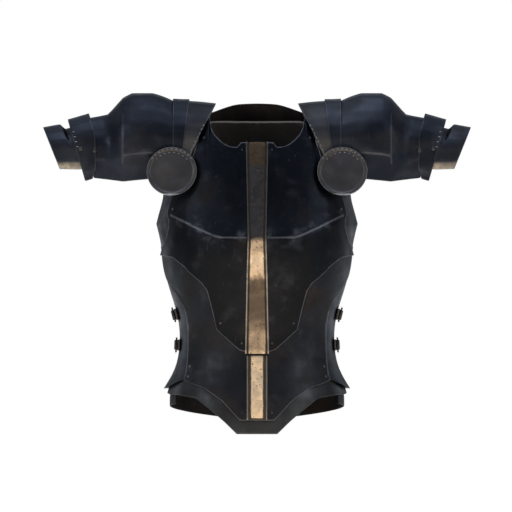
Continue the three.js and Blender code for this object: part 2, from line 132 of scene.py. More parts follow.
def makeFloor():
    middle = (0, studio["floorBack"], studio["floorHeight"])
    bpy.ops.mesh.primitive_plane_add(size=studio["floorSize"], location=middle)
    floor = bpy.context.object
    floor.name = "floor"
    paper = bpy.data.materials.new("floor_paper")
    paper.use_nodes = True
    tree = paper.node_tree
    shader = tree.nodes["Principled BSDF"]
    shader.inputs["Base Color"].default_value = studio["floorColour"]
    shader.inputs["Roughness"].default_value = studio["floorRoughness"]
    shader.inputs["Emission Color"].default_value = studio["floorColour"]
    seen = tree.nodes.new("ShaderNodeLightPath")
    glow = tree.nodes.new("ShaderNodeMapRange")
    glow.inputs["To Min"].default_value = studio["floorGlow"]
    glow.inputs["To Max"].default_value = studio["floorSeen"]
    tree.links.new(seen.outputs["Is Camera Ray"], glow.inputs["Value"])
    tree.links.new(glow.outputs[0], shader.inputs["Emission Strength"])
    floor.data.materials.append(paper)


def makeSky():
    world = bpy.data.worlds.new("studio_sky")
    bpy.context.scene.world = world
    world.use_nodes = True
    tree = world.node_tree
    sky = tree.nodes["Background"]
    direction = tree.nodes.new("ShaderNodeTexCoord")
    split = tree.nodes.new("ShaderNodeSeparateXYZ")
    spread = tree.nodes.new("ShaderNodeMapRange")
    spread.inputs["From Min"].default_value = -1
    ramp = tree.nodes.new("ShaderNodeValToRGB")
    ramp.color_ramp.elements[0].color = studio["skyWarm"]
    ramp.color_ramp.elements[1].color = studio["skyCool"]
    for share in studio["levelSpan"]:
        ramp.color_ramp.elements.new(share).color = studio["skyLevel"]
    seen = tree.nodes.new("ShaderNodeLightPath")
    mix = tree.nodes.new("ShaderNodeMix")
    mix.data_type = "RGBA"
    mix.inputs[7].default_value = studio["backdrop"]
    tree.links.new(direction.outputs["Generated"], split.inputs[0])
    tree.links.new(split.outputs["Z"], spread.inputs["Value"])
    tree.links.new(spread.outputs[0], ramp.inputs[0])
    tree.links.new(seen.outputs["Is Camera Ray"], mix.inputs[0])
    tree.links.new(ramp.outputs[0], mix.inputs[6])
    tree.links.new(mix.outputs[2], sky.inputs[0])


makeCamera()
makeFloor()
makeSky()
for name, s in softboxes.items():
    x, y, z = s["place"]
    places = {"left_": -1, "right_": 1} if x else {"": 1}
    for prefix, sign in places.items():
        softbox(prefix + name, (sign * x, y, z), s)
print("camera, floor and lights set")


# finishes
def newFinish(name):
    finish = bpy.data.materials.new(name)
    finish.use_nodes = True
    return finish, finish.node_tree, finish.node_tree.nodes["Principled BSDF"]


def noise(tree, scale, detail=4, stretch=None, turn=(0, 0, 0)):
    place = tree.nodes.new("ShaderNodeTexCoord")
    texture = tree.nodes.new("ShaderNodeTexNoise")
    texture.inputs["Scale"].default_value = scale
    texture.inputs["Detail"].default_value = detail
    source = place.outputs["Object"]
    if stretch:
        mapping = tree.nodes.new("ShaderNodeMapping")
        mapping.inputs["Scale"].default_value = stretch
        mapping.inputs["Rotation"].default_value = turn
        tree.links.new(source, mapping.inputs["Vector"])
        source = mapping.outputs[0]
    tree.links.new(source, texture.inputs["Vector"])
    return texture.outputs["Fac"]


def mapped(tree, source, low, high, start=0.0, end=1.0):
    node = tree.nodes.new("ShaderNodeMapRange")
    node.interpolation_type = "SMOOTHSTEP"
    for socket, value in zip(("From Min", "From Max", "To Min", "To Max"), (low, high, start, end)):
        node.inputs[socket].default_value = value
    tree.links.new(source, node.inputs["Value"])
    return node.outputs[0]


def sums(tree, kind, first, second):
    node = tree.nodes.new("ShaderNodeMath")
    node.operation = kind
    for i, value in enumerate((first, second)):
        if isinstance(value, (int, float)):
            node.inputs[i].default_value = value
        else:
            tree.links.new(value, node.inputs[i])
    return node.outputs[0]


def mixed(tree, share, under, over):
    node = tree.nodes.new("ShaderNodeMix")
    node.data_type = "RGBA"
    for socket, value in ((node.inputs[0], share), (node.inputs[6], under), (node.inputs[7], over)):
        if isinstance(value, (int, float, tuple)):
            socket.default_value = value
        else:
            tree.links.new(value, socket)
    return node.outputs[2]


def attribute(tree, label):
    node = tree.nodes.new("ShaderNodeAttribute")
    node.attribute_name = label
    return node.outputs["Fac"]


def bumped(tree, shader, height, strength, depth):
    bump = tree.nodes.new("ShaderNodeBump")
    bump.inputs["Strength"].default_value = strength
    bump.inputs["Distance"].default_value = depth
    tree.links.new(height, bump.inputs["Height"])
    tree.links.new(bump.outputs[0], shader.inputs["Normal"])


# a ragged line along rim wear and along painted highlight lines
def wearAndHighlightLine(tree, label, width, spread):
    grit = noise(tree, 90, 5)
    ragged = sums(tree, "SUBTRACT", attribute(tree, label), sums(tree, "MULTIPLY", grit, spread))
    return mapped(tree, ragged, width - spread, width, 1, 0)


def heightOf(tree):
    place = tree.nodes.new("ShaderNodeTexCoord")
    split = tree.nodes.new("ShaderNodeSeparateXYZ")
    tree.links.new(place.outputs["Object"], split.inputs[0])
    return split.outputs["Z"]


plateMarks = {              # noise scale and detail, then where in the noise the mark fades in
    "cloud": (7, 5, 0.42, 0.62),
    "stain": (15, 6, 0.52, 0.72),
    "smudge": (22, 7, 0.55, 0.8),
    "fleck": (120, 3, 0.6, 0.74),
    "rub": (34, 5, 0.52, 0.7),
    "patch": (60, 5, 0.35, 0.6),
    "sheen": (34, 6, 0.3, 0.7),
}
plateScratches = [          # stretch and turn of the noise, then where in it the scratch fades in
    ((330, 330, 14), (0, 0.5, 0.3), 0.66, 0.74),
    ((20, 300, 360), (0.2, -0.7, 0.1), 0.68, 0.76),
]
plateUsual = {
    "stain": (0.026, 0.022, 0.020, 1),
    # the tone of wear marks, also laid on the painted highlight lines
    "worn": (0.16, 0.162, 0.17, 1),
    "metal": 1.0,
    "stains": 0.6,
    "smudges": 0.16,
    "flecks": 0.35,
    "scratches": 0.1,
    # the most of the painted lighter tone below
    "lowerShare": 0.85,
    # the least strength of a painted glint across its patches
    "bareLeast": 0.55,
    "rubbed": 0.25,
    "rubReach": (0.002, 0.026),
    # painted highlight lines along lit creases and edges: strength, width and raggedness
    "ridgeWear": 0.5,
    "ridgeWidth": 0.0022,
    "ridgeRagged": 0.0024,
    "rimWear": 0.7,
    "rimWidth": 0.0014,
    "rimRagged": 0.0016,
    "roughness": (0.36, 0.5),
    "stainRoughness": 0.2,
    "dents": 0.16,
    "dentDepth": 0.002,
    "grainShare": 0.12,
    "scratchDepth": 0.3,
}


def mark(tree, kind, start=0.0, end=1.0):
    scale, detail, low, high = plateMarks[kind]
    return mapped(tree, noise(tree, scale, detail), low, high, start, end)


def plateColour(tree, s, stain, scratches):
    colour = mixed(tree, mark(tree, "cloud"), s["dark"], s["light"])
    if "lower" in s:        # painted reflection: a lighter tone below, fading out between two heights
        lower = mapped(tree, heightOf(tree), *s["lowerHeights"], s["lowerShare"], 0)
        colour = mixed(tree, lower, colour, s["lower"])
    colour = mixed(tree, stain, colour, s["stain"])
    colour = mixed(tree, mark(tree, "smudge", 0, s["smudges"]), colour, s["worn"])
    colour = mixed(tree, mark(tree, "fleck", 0, s["flecks"]), colour, s["dark"])
    colour = mixed(tree, scratches, colour, s["worn"])
    nearHighlight = mapped(tree, attribute(tree, "ridge"), *s["rubReach"], 1, 0)
    rub = sums(tree, "MULTIPLY", mark(tree, "rub", 0, s["rubbed"]), nearHighlight)
    colour = mixed(tree, rub, colour, s["worn"])
    if "bare" in s:         # painted glint below, fading out between two heights
        span = mapped(tree, heightOf(tree), *s["bareHeights"], 1, 0)
        patch = mark(tree, "patch", s["bareLeast"], 1)
        colour = mixed(tree, sums(tree, "MULTIPLY", span, patch), colour, s["bare"])
    # painted highlight lines, then rim wear lines
    for label in ("ridge", "rim"):
        line = wearAndHighlightLine(tree, label, s[label + "Width"], s[label + "Ragged"])
        colour = mixed(tree, sums(tree, "MULTIPLY", line, s[label + "Wear"]), colour, s["worn"])
    return colour


def plateFinish(name, changes):
    s = {**plateUsual, **changes}
    finish, tree, shader = newFinish(name)
    shader.inputs["Metallic"].default_value = s["metal"]
    stain = mark(tree, "stain", 0, s["stains"])
    scratches = sums(tree, "MAXIMUM", *[
        mapped(tree, noise(tree, 1, 3, stretch, turn), low, high, 0, s["scratches"])
        for stretch, turn, low, high in plateScratches])
    tree.links.new(plateColour(tree, s, stain, scratches), shader.inputs["Base Color"])
    stained = sums(tree, "MULTIPLY", stain, s["stainRoughness"])
    rough = sums(tree, "ADD", mark(tree, "sheen", *s["roughness"]), stained)
    tree.links.new(rough, shader.inputs["Roughness"])
    grain = sums(tree, "MULTIPLY", noise(tree, 260, 3), s["grainShare"])
    dents = sums(tree, "ADD", noise(tree, 30, 2), grain)
    dents = sums(tree, "SUBTRACT", dents, sums(tree, "MULTIPLY", scratches, s["scratchDepth"]))
    bumped(tree, shader, dents, s["dents"], s["dentDepth"])
    return finish


bluedSteel = plateFinish("blued_steel", {
    "dark": (0.019, 0.0215, 0.028, 1),
    "light": (0.038, 0.041, 0.050, 1),
    "stain": (0.034, 0.032, 0.031, 1),
    "worn": (0.12, 0.122, 0.13, 1),
    "rubbed": 0.15,
    "ridgeWear": 0.3,
    "rimWear": 0.4,
})
breastSteel = plateFinish("breast_steel", {
    "dark": (0.0080, 0.0094, 0.0120, 1),
    "light": (0.0150, 0.0167, 0.0200, 1),
    # painted reflection: lighter below the chest crease, where the plate faces down
    "lower": (0.0158, 0.0156, 0.0158, 1),
    "lowerHeights": (-0.36, -0.2),
    "stain": (0.0195, 0.0160, 0.0145, 1),
    "worn": (0.14, 0.143, 0.15, 1),
    "scratches": 0.14,
    "rubbed": 0.4,
    "ridgeWear": 0.7,
})
wornSteel = plateFinish("worn_steel", {
    "dark": (0.0225, 0.0229, 0.0255, 1),
    "light": (0.030, 0.0301, 0.0322, 1),
    "stain": (0.037, 0.0295, 0.0255, 1),
    "stains": 0.85,
    "rimWear": 0.42,
    "rimWidth": 0.0019,
    "roughness": (0.38, 0.54),
    "dents": 0.18,
})
strapSteel = plateFinish("strap_steel", {
    "dark": (0.024, 0.0245, 0.0265, 1),
    "light": (0.042, 0.0425, 0.0445, 1),
    # painted highlight: lighter towards the strap's lower end
    "lower": (0.092, 0.089, 0.085, 1),
    "lowerHeights": (-0.045, 0.0),
    "stain": (0.040, 0.036, 0.033, 1),
    "rimWear": 0.45,
    "roughness": (0.38, 0.5),
})
cuffSteel = plateFinish("cuff_steel", {
    "dark": (0.026, 0.029, 0.036, 1),
    "light": (0.046, 0.050, 0.060, 1),
    # painted warm reflection along the cuff's lower rim
    "bare": (0.62, 0.50, 0.36, 1),
    "bareHeights": (-0.099, -0.082),
})
discSteel = plateFinish("disc_steel", {
    "dark": (0.075, 0.069, 0.065, 1),
    "light": (0.110, 0.103, 0.098, 1),
    "stain": (0.092, 0.072, 0.060, 1),
    # the light rim line is partly wear and partly painted glint; below it a painted glint along the lower rim
    "worn": (0.30, 0.29, 0.28, 1),
    "bare": (0.96, 0.95, 0.93, 1),
    "bareHeights": (-0.1500, -0.1462),
    "rubbed": 0.1,
    "ridgeWear": 0.2,
    "rimWear": 0.6,
    "roughness": (0.3, 0.42),
    "dents": 0.08,
})
# painted shade: the inner faces of the back collar and the culet dark, as if in shadow
shadedDarkInside = plateFinish("dark_inside", {
    "dark": (0.0120, 0.0108, 0.0100, 1),
    "light": (0.024, 0.0205, 0.018, 1),
    "stain": (0.028, 0.020, 0.015, 1),
    "worn": (0.10, 0.085, 0.07, 1),
    "scratches": 0.05,
    "rubbed": 0.05,
    "ridgeWear": 0.1,
    "rimWear": 0.4,
    "roughness": (0.5, 0.7),
    "dents": 0.2,
})
# painted shade: the plates' inner faces dark brown as if in shadow; the light rim line along them partly wear,
# partly painted edge highlight
shadedInside = plateFinish("shaded_inside", {
    "dark": (0.016, 0.012, 0.009, 1),
    "light": (0.034, 0.024, 0.017, 1),
    "stain": (0.040, 0.025, 0.016, 1),
    "worn": (0.34, 0.30, 0.27, 1),
    "metal": 0.2,
    "scratches": 0.05,
    "rubbed": 0.05,
    "ridgeWear": 0.1,
    "rimWear": 0.9,
    "rimWidth": 0.0034,
    "roughness": (0.5, 0.7),
    "dents": 0.2,
})
culetSteel = plateFinish("culet_steel", {
    "dark": (0.0060, 0.0056, 0.0052, 1),
    "light": (0.0130, 0.0118, 0.0105, 1),
    "stain": (0.016, 0.012, 0.0095, 1),
    "worn": (0.06, 0.055, 0.05, 1),
    "rimWear": 0.2,
    "roughness": (0.45, 0.6),
})
backSteel = plateFinish("back_steel", {
    "dark": (0.0158, 0.0178, 0.022, 1),
    "light": (0.030, 0.0335, 0.040, 1),
    "rimWear": 0.3,
})
hemSteel = plateFinish("hem_steel", {
    "dark": (0.031, 0.0318, 0.0315, 1),
    "light": (0.058, 0.0588, 0.058, 1),
    "stain": (0.036, 0.0300, 0.0270, 1),
    "rimWear": 0.3,
})
buckleSteel = plateFinish("buckle_steel", {
    "dark": (0.010, 0.010, 0.010, 1),
    "light": (0.020, 0.020, 0.020, 1),
    "worn": (0.06, 0.058, 0.055, 1),
    "rimWear": 0.4,
})
rivetSteel = plateFinish("rivet_steel", {
    "dark": (0.055, 0.055, 0.056, 1),
    "light": (0.11, 0.11, 0.11, 1),
    "stain": (0.045, 0.037, 0.032, 1),
    "rubbed": 0.0,
    "ridgeWear": 0.0,
    "rimWear": 0.0,
    "roughness": (0.3, 0.45),
    "dents": 0.1,
})
# the studs' pale tone paints the dotted glints along the armhole, disc and arm band rims
glintStudSteel = plateFinish("stud_glint_steel", {
    "dark": (0.20, 0.195, 0.19, 1),
    "light": (0.34, 0.33, 0.32, 1),
    "stain": (0.10, 0.085, 0.075, 1),
    "rubbed": 0.0,
    "ridgeWear": 0.0,
    "rimWear": 0.0,
    "roughness": (0.28, 0.4),
    "dents": 0.1,
})


def brassFinish():
    s = {
        "top": -0.047,
        "bottom": -0.600,
        "seam": (-0.475, -0.465),       # heights between the lower and the upper band
        "borderSeam": (-0.472, -0.468),
        # tones along the band: partly the brass's own, the bright ones partly painted reflection, the grey
        # partly painted shade
        "low": (0.98, 0.72, 0.45, 1),
        "bright": (0.50, 0.365, 0.235, 1),
        "pale": (0.60, 0.46, 0.315, 1),
        "tan": (0.29, 0.215, 0.145, 1),
        "dull": (0.098, 0.072, 0.050, 1),
        "grey": (0.058, 0.053, 0.051, 1),
        "brown": (0.080, 0.055, 0.033, 1),
        "wander": 0.03,                 # how raggedly one tone gives way to the next
        "patina": 0.36,
        "lowerPatina": 0.05,
        "pit": (0.10, 0.060, 0.030, 1),
        "pits": 0.85,
        "border": (0.045, 0.038, 0.031, 1),
        "borderShare": 0.95,
        "borderSpan": (0.0035, 0.0058),
        "borderRagged": 0.003,
        "lowerBorder": 0.0022,          # so much wider on the lower band
        "endBorder": 1.5,               # so many times narrower at the lower end
        "edge": (0.28, 0.245, 0.21, 1),
        "edgeShare": 0.8,
        "edgeSpan": (0.0012, 0.0022),
        "edgeDims": (-0.25, -0.22),     # heights between which the edge line dims upwards, painted shade above the chest crease
        "edgeDim": 0.3,
        "roughness": (0.3, 0.5),
        "lowerRoughness": 0.09,
        "relief": 0.3,
        "reliefDepth": 0.0015,
        "pitDepth": 0.6,
    }
    # the grey above the chest crease is partly painted shade where the band faces up, the bright lengths below
    # it partly painted reflection where it faces down
    lengths = [                         # shares of the way from the bottom to the top
        (0.0, "low"), (0.225, "low"), (0.242, "bright"), (0.30, "tan"), (0.37, "dull"), (0.508, "dull"),
        (0.53, "bright"), (0.57, "pale"), (0.645, "bright"), (0.662, "grey"), (0.915, "grey"), (0.935, "brown"),
    ]
    finish, tree, shader = newFinish("aged_brass")
    shader.inputs["Metallic"].default_value = 1
    height = tree.nodes.new("ShaderNodeMapRange")
    height.inputs["From Min"].default_value = s["bottom"]
    height.inputs["From Max"].default_value = s["top"]
    tree.links.new(heightOf(tree), height.inputs["Value"])
    ragged = sums(tree, "MULTIPLY", noise(tree, 40, 3), s["wander"])
    ramp = tree.nodes.new("ShaderNodeValToRGB")
    tree.links.new(sums(tree, "ADD", height.outputs[0], ragged), ramp.inputs[0])
    stops = ramp.color_ramp.elements
    shift = s["wander"] / 2             # what the noise adds on average
    stops[0].color = s[lengths[0][1]]
    stops[1].color = s[lengths[-1][1]]
    for share, tone in lengths[1:-1]:
        stops.new(share + shift).color = s[tone]
    stops[len(stops) - 1].position = lengths[-1][0] + shift
    patina = mapped(tree, noise(tree, 55, 6), 0.5, 0.68, 0, s["patina"])
    above = mapped(tree, heightOf(tree), *s["seam"], s["lowerPatina"], 1)
    colour = mixed(tree, sums(tree, "MULTIPLY", patina, above), ramp.outputs[0], s["dull"])
    pits = mapped(tree, noise(tree, 210, 4), 0.62, 0.68, 0, s["pits"])
    colour = mixed(tree, pits, colour, s["pit"])
    fromEnd = sums(tree, "MULTIPLY", sums(tree, "SUBTRACT", heightOf(tree), s["bottom"]), s["endBorder"])
    side = sums(tree, "MINIMUM", attribute(tree, "side"), fromEnd)     # the border goes round the lower end
    tarnish = sums(tree, "SUBTRACT", side, sums(tree, "MULTIPLY", noise(tree, 70, 4), s["borderRagged"]))
    wider = mapped(tree, heightOf(tree), *s["borderSeam"], s["lowerBorder"], 0)
    tarnish = mapped(tree, sums(tree, "SUBTRACT", tarnish, wider), *s["borderSpan"], s["borderShare"], 0)
    colour = mixed(tree, tarnish, colour, s["border"])
    dims = mapped(tree, heightOf(tree), *s["edgeDims"], 1, s["edgeDim"])
    outline = sums(tree, "MULTIPLY", mapped(tree, side, *s["edgeSpan"], s["edgeShare"], 0), dims)
    colour = mixed(tree, outline, colour, s["edge"])
    tree.links.new(colour, shader.inputs["Base Color"])
    rough = mapped(tree, noise(tree, 70, 5), 0.3, 0.7, *s["roughness"])
    rougher = mapped(tree, heightOf(tree), *s["seam"], s["lowerRoughness"], 0)
    tree.links.new(sums(tree, "ADD", rough, rougher), shader.inputs["Roughness"])
    relief = sums(tree, "SUBTRACT", noise(tree, 60, 3), sums(tree, "MULTIPLY", pits, s["pitDepth"]))
    bumped(tree, shader, relief, s["relief"], s["reliefDepth"])
    return finish


def leatherFinish():
    s = {
        "dark": (0.008, 0.0065, 0.0055, 1),
        "light": (0.020, 0.015, 0.012, 1),
        "rubbed": (0.05, 0.038, 0.03, 1),
        "rubs": 0.5,
        "rubWidth": 0.0016,
        "rubRagged": 0.0014,
        "roughness": (0.5, 0.75),
        "grainScale": 700,
        "grain": 0.35,
        "grainDepth": 0.0006,
    }
    finish, tree, shader = newFinish("dark_leather")
    cloud = mapped(tree, noise(tree, 40, 5), 0.4, 0.65)
    colour = mixed(tree, cloud, s["dark"], s["light"])
    rub = sums(tree, "MULTIPLY", wearAndHighlightLine(tree, "rim", s["rubWidth"], s["rubRagged"]), s["rubs"])
    colour = mixed(tree, rub, colour, s["rubbed"])
    tree.links.new(colour, shader.inputs["Base Color"])
    rough = mapped(tree, noise(tree, 80, 4), 0.3, 0.7, *s["roughness"])
    tree.links.new(rough, shader.inputs["Roughness"])
    place = tree.nodes.new("ShaderNodeTexCoord")
    grain = tree.nodes.new("ShaderNodeTexVoronoi")
    grain.inputs["Scale"].default_value = s["grainScale"]
    tree.links.new(place.outputs["Object"], grain.inputs["Vector"])
    hide = sums(tree, "ADD", grain.outputs["Distance"], noise(tree, 300, 3))
    bumped(tree, shader, hide, s["grain"], s["grainDepth"])
    return finish


def threadFinish():
    s = {"dark": (0.09, 0.065, 0.045, 1), "light": (0.17, 0.13, 0.09, 1), "roughness": 0.7}
    finish, tree, shader = newFinish("waxed_thread")
    fuzz = mapped(tree, noise(tree, 500, 3), 0.4, 0.6)
    tree.links.new(mixed(tree, fuzz, s["dark"], s["light"]), shader.inputs["Base Color"])
    shader.inputs["Roughness"].default_value = s["roughness"]
    return finish


agedBrass = brassFinish()
darkLeather = leatherFinish()
waxedThread = threadFinish()
print("finishes made")


# plates: a smooth copy of each node
plateCopy = {                   # lengths in metres, angles in degrees
    "mergeGap": 0.0002,
    "quadFlat": 30,
    "quadSquare": 60,
    "crispTurn": 32,            # sharper edges of narrow faces stay crisp
    "rimTurn": 50,
    "plateRim": 0.0018,         # a plate's rim faces are narrower than this
    "pieceRim": 0.0055,
    "pointGap": 0.002,          # between the points that the wear is measured from
    "wearReach": 0.05,
    "bevelTurn": 50,
    "sameSpot": 0.000001,
    "smoothTurn": 30,
    "armMiddle": -0.05,
    "insideFacing": -0.25,
}


def makeActive(*things):
    for thing in bpy.context.selected_objects:
        thing.select_set(False)
    for thing in things:
        thing.select_set(True)
    bpy.context.view_layer.objects.active = things[0]


def applied(piece, kind, **values):
    makeActive(piece)
    bpy.ops.object.modifier_add(type=kind)
    modifier = piece.modifiers[-1]
    for key, value in values.items():
        setattr(modifier, key, value)
    bpy.ops.object.modifier_apply(modifier=modifier.name)


def merged(piece, gap):
    makeActive(piece)
    bpy.ops.object.mode_set(mode="EDIT")
    bpy.ops.mesh.select_all(action="SELECT")
    bpy.ops.mesh.remove_doubles(threshold=gap)
    bpy.ops.object.mode_set(mode="OBJECT")


def copyOf(node):
    makeActive(nodes[node])
    bpy.ops.object.duplicate()
    piece = bpy.context.object
    piece.parent = None
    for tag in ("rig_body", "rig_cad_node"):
        del piece[tag]
    piece.name = node + "_finished"
    piece.data.name = piece.name
    piece.data.materials.clear()
    merged(piece, plateCopy["mergeGap"])
    bpy.ops.object.mode_set(mode="EDIT")
    bpy.ops.mesh.select_all(action="SELECT")
    bpy.ops.mesh.tris_convert_to_quads(face_threshold=math.radians(plateCopy["quadFlat"]),
                                       shape_threshold=math.radians(plateCopy["quadSquare"]))
    bpy.ops.object.mode_set(mode="OBJECT")
    return piece


def creaseEdges(piece, folds, thin):
    lines = {"rim": [], "ridge": []}
    shape = bmesh.new()
    shape.from_mesh(piece.data)
    creases = []
    for edge in shape.edges:
        turn = math.degrees(edge.calc_face_angle(0))
        start, end = (vert.co.copy() for vert in edge.verts)
        narrow = min(line.calc_length() for face in edge.link_faces for line in face.edges) < thin
        sharp = turn > plateCopy["crispTurn"] and narrow
        crisp, lit = (1, False) if sharp else folds(start, end, turn)
        creases.append(crisp)
        # narrow sharp edges give rim wear lines, lit edges painted highlight lines
        kind = "rim" if turn > plateCopy["rimTurn"] and narrow else "ridge" if lit else None
        if kind:
            steps = max(1, math.ceil((end - start).length / plateCopy["pointGap"]))
            lines[kind] += [start.lerp(end, k / steps) for k in range(steps + 1)]
    shape.free()
    piece.data.attributes.new("crease_edge", "FLOAT", "EDGE").data.foreach_set("value", creases)
    return lines


def storeDistance(piece, label, points):
    reach = plateCopy["wearReach"]
    values = [reach] * len(piece.data.vertices)
    if points:
        tree = KDTree(len(points))
        for i, point in enumerate(points):
            tree.insert(point, i)
        tree.balance()
        values = [min(reach, tree.find(vert.co)[2]) for vert in piece.data.vertices]
    piece.data.attributes.new(label, "FLOAT", "POINT").data.foreach_set("value", values)


def storeSide(band):
    halfWidths = {              # heights and half widths
        "upper": [(-0.468, 0.023), (-0.300, 0.020), (-0.236, 0.018), (-0.048, 0.022)],
        "lower": [(-0.600, 0.020), (-0.470, 0.020)],
    }
    rows = halfWidths["upper" if "upper" in band.name else "lower"]
    values = []
    for vert in band.data.vertices:
        pairs = [pair for pair in zip(rows, rows[1:]) if vert.co.z <= pair[1][0]] or [(rows[-2], rows[-1])]
        (lowZ, lowHalf), (highZ, highHalf) = pairs[0]
        share = min(1, max(0, (vert.co.z - lowZ) / (highZ - lowZ)))
        values.append(lowHalf + share * (highHalf - lowHalf) - abs(vert.co.x))
    band.data.attributes.new("side", "FLOAT", "POINT").data.foreach_set("value", values)


# folds: how crisp an edge stays, and whether it has a painted highlight line
def noFold(start, end, turn):
    return 0, False


chestCrease = {
    "low": -0.236, "rise": 0.048, "halfWidth": 0.200, "roundness": 1.15,
    "riseFrom": 23, "riseOver": 41, "near": 0.006, "turn": 1, "crisp": 0.85,
}
flankCrease = {"height": -0.208, "near": 0.004, "turn": 12, "crisp": 1}
bandBorder = {"turn": 15, "crisp": 0.9}


def creaseHeight(x):
    s = chestCrease
    angle = math.asin(min(1, abs(x) / s["halfWidth"]) ** s["roundness"])     # from the front, round the chest
    share = min(1, max(0, (angle - math.radians(s["riseFrom"])) / math.radians(s["riseOver"])))
    return s["low"] + s["rise"] * share


def chestFold(start, end, turn):
    near = all(abs(point.z - creaseHeight(point.x)) < chestCrease["near"] for point in (start, end))
    return (chestCrease["crisp"] if turn > chestCrease["turn"] and near else 0), False


def flankFold(start, end, turn):
    near = all(abs(point.z - flankCrease["height"]) < flankCrease["near"] for point in (start, end))
    return (flankCrease["crisp"] if turn > flankCrease["turn"] and near else 0), False


def within(span, limits):
    return limits[0] < span[0] and span[1] < limits[1]


shoulderFacets = {
    "creaseX": 0.268, "near": 0.001, "creaseCrisp": 0.8, "litTurn": 8, "litHeights": (-0.09, 0.03),
    "lowHeights": (-0.095, -0.058), "lowPlaces": (0.18, 0.27), "turn": 11, "crisp": 0.55,
}


def shoulderFold(start, end, turn):
    s = shoulderFacets
    heights = sorted((start.z, end.z))
    places = sorted((abs(start.x), abs(end.x)))
    if all(abs(x - s["creaseX"]) < s["near"] for x in places):
        return s["creaseCrisp"], turn > s["litTurn"] and within(heights, s["litHeights"])
    low = within(heights, s["lowHeights"]) and within(places, s["lowPlaces"])
    return (s["crisp"], low) if turn > s["turn"] else (0, False)


def borderFold(start, end, turn):
    return (bandBorder["crisp"] if turn > bandBorder["turn"] else 0), False


def cast(plate, start, way, along):
    hit, place, normal = plate.ray_cast(Vector(start), Vector(way))[:3]
    return [(place, normal, Vector(along))] if hit else []


def fromFront(plate, px, py, along=(1, 0, 0)):
    x, z = photoPlace(px, py)
    return cast(plate, (x, -1, z), (0, 1, 0), along)


def mirror(side, px):
    return px if side == "l" else 2 * studio["originPixel"][0] - px


def drawnLine(plate, corners):
    steps = 30
    points = []
    for (fromX, fromY), (toX, toY) in zip(corners, corners[1:]):
        for k in range(steps + 1):
            px, py = fromX + (toX - fromX) * k / steps, fromY + (toY - fromY) * k / steps
            points += [spot[0] for side in sides for spot in fromFront(plate, mirror(side, px), py)]
    return points


hemEnds = {
    "past": 0.1505, "behind": -0.075,       # where the narrow face that closes each end lies
    "middle": -0.549,
    "steps": [{"move": (0.013, 0.026, -0.001), "squeeze": 0.74},
              {"move": (0.005, 0.026, 0.004), "squeeze": 0.85}],
}


def longerEnds(hem):
    for sign in sides.values():
        makeActive(hem)
        bpy.ops.object.mode_set(mode="EDIT")
        bpy.ops.mesh.select_all(action="DESELECT")
        bpy.ops.object.mode_set(mode="OBJECT")
        for vert in hem.data.vertices:
            vert.select = vert.co.x * sign > hemEnds["past"] and vert.co.y > hemEnds["behind"]
        bpy.ops.object.mode_set(mode="EDIT")
        for step in hemEnds["steps"]:
            x, y, z = step["move"]
            bpy.ops.mesh.extrude_region_move(TRANSFORM_OT_translate={"value": (x * sign, y, z)})
            bpy.ops.transform.resize(value=(1, 1, step["squeeze"]), center_override=(0, 0, hemEnds["middle"]))
        bpy.ops.object.mode_set(mode="OBJECT")


# inner faces take the inside finish, painted shade
def lineInside(piece, inside, around):
    piece.data.materials.append(inside)
    for face in piece.data.polygons:
        x, y, z = face.center
        outward = Vector((x, y, 0)) if around == "torso" else Vector((0, y, z - plateCopy["armMiddle"]))
        facing = face.normal.dot(outward.normalized())
        face.material_index = 1 if facing < plateCopy["insideFacing"] else 0


def finishPlate(node, outside, inside, slot, body, around="torso", folds=noFold, levels=2, edge=0.00024,
                line=(), reshape=None):
    piece = copyOf(node)
    if reshape:
        reshape(piece)
    lines = creaseEdges(piece, folds, plateCopy["plateRim" if inside else "pieceRim"])
    applied(piece, "SUBSURF", levels=levels, render_levels=levels)
    applied(piece, "BEVEL", width=edge, segments=2, limit_method="ANGLE",
            angle_limit=math.radians(plateCopy["bevelTurn"]), use_clamp_overlap=False)
    merged(piece, plateCopy["sameSpot"])
    lines["ridge"] += drawnLine(piece, line)
    for label, points in lines.items():
        storeDistance(piece, label, points)
    piece.data.materials.append(outside)
    if inside:
        lineInside(piece, inside, around)
    makeActive(piece)
    bpy.ops.object.shade_smooth_by_angle(angle=math.radians(plateCopy["smoothTurn"]))
    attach(piece, body)
    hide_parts(node)
    return piece


plates = {}
# the lines given below are painted highlight lines
torsoPlates = {         # light lines in pixels of the photo, on the viewer's left
    "breastplate": {"outside": breastSteel, "slot": "blued_steel", "folds": chestFold, "levels": 3,
                    "line": [(171, 215.4), (192, 225.6), (213, 235.4), (220, 237.4), (246, 238)]},
    "belly_plate": {"outside": wornSteel, "slot": "worn_steel",
                    "line": [(180, 301), (185.6, 312), (188.3, 325.5), (188.3, 349.5), (185.8, 376)]},
    "hem_strip": {"outside": hemSteel, "slot": "worn_steel", "reshape": longerEnds},
    "backplate": {"outside": backSteel, "slot": "blued_steel", "folds": flankFold},
    "back_collar": {"outside": backSteel, "inside": shadedDarkInside, "slot": "blued_steel"},
    "culet": {"outside": culetSteel, "inside": shadedDarkInside, "slot": "dark_inside"},
}
for node, s in torsoPlates.items():
    plates[node] = finishPlate(node, body="cuirass", **{"inside": shadedInside, **s})
for node in ("band_upper", "band_lower"):
    plates[node] = finishPlate(node, agedBrass, None, "aged_brass", "cuirass", folds=borderFold)
    storeSide(plates[node])
print("torso plates finished")

